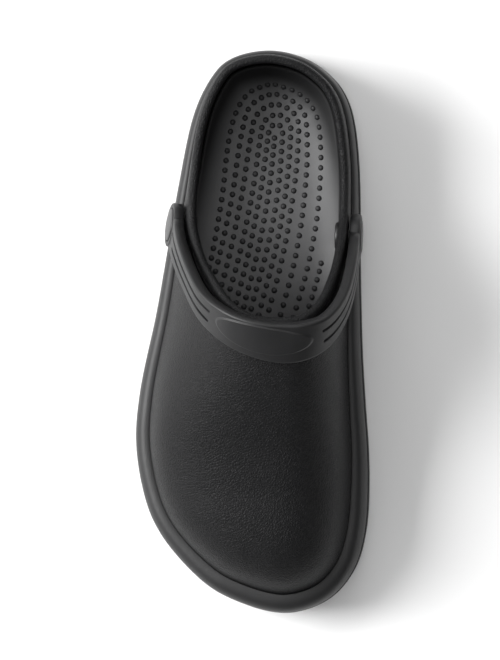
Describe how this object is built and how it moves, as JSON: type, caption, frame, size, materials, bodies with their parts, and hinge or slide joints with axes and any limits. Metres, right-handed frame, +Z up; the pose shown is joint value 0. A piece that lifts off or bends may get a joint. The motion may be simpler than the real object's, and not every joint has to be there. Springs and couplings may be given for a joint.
{
  "type": "clog shoe",
  "caption": "Closed-toe work clog of moulded foam for the right foot, with a nubbed footbed and a heel strap turned forward over the instep.",
  "frame": {"origin": "on the floor under the middle of the sole's outline seen from above", "axes": "+Z up, -Y towards the toe, +Y towards the heel, +X towards the inner (medial) side of the right foot"},
  "size_m": [0.1215, 0.2899, 0.1108],
  "materials": {
    "sole_foam": "matt black moulded foam, finely stippled",
    "footbed_foam": "matt black moulded foam",
    "upper_foam": "matt black moulded foam with a fine leather grain",
    "strap_foam": "matt black moulded foam, smooth",
    "rivet_plastic": "satin black moulded plastic"
  },
  "bodies": {
    "root": {"sole": "sole_foam", "insole": "footbed_foam", "upper": "upper_foam", "heel_strap": "strap_foam", "rivet_cap_outer": "rivet_plastic", "rivet_cap_inner": "rivet_plastic", "rivet_back_outer": "rivet_plastic", "rivet_back_inner": "rivet_plastic"}
  },
  "joints": []
}
